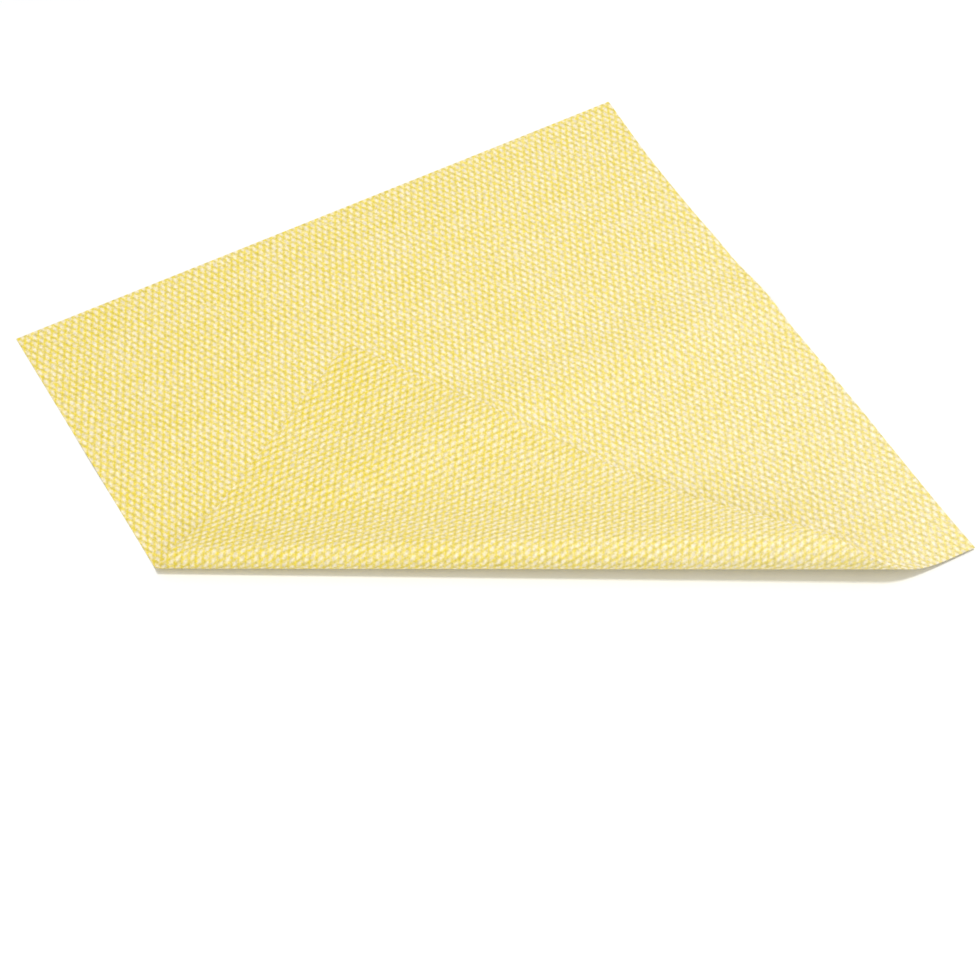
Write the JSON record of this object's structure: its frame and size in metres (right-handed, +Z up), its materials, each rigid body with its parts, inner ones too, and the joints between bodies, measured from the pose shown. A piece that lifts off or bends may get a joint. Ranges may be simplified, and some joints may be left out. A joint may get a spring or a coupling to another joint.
{
  "type": "antistatic cleaning cloth",
  "caption": "Square yellow nonwoven cleaning cloth with a fine white lozenge pattern, lying flat with its front corner turned back over a soft roll.",
  "frame": {"origin": "under the middle of the square, on the surface that the cloth lies on", "axes": "+X along the front edge to the right, +Y from the turned-back corner's side to the back, +Z up out of the cloth"},
  "size_m": [0.6, 0.6, 0.0367],
  "materials": {
    "cloth": "matt nonwoven, yellow mesh with white lozenges"
  },
  "bodies": {
    "root": {"cloth": "cloth"}
  },
  "joints": []
}
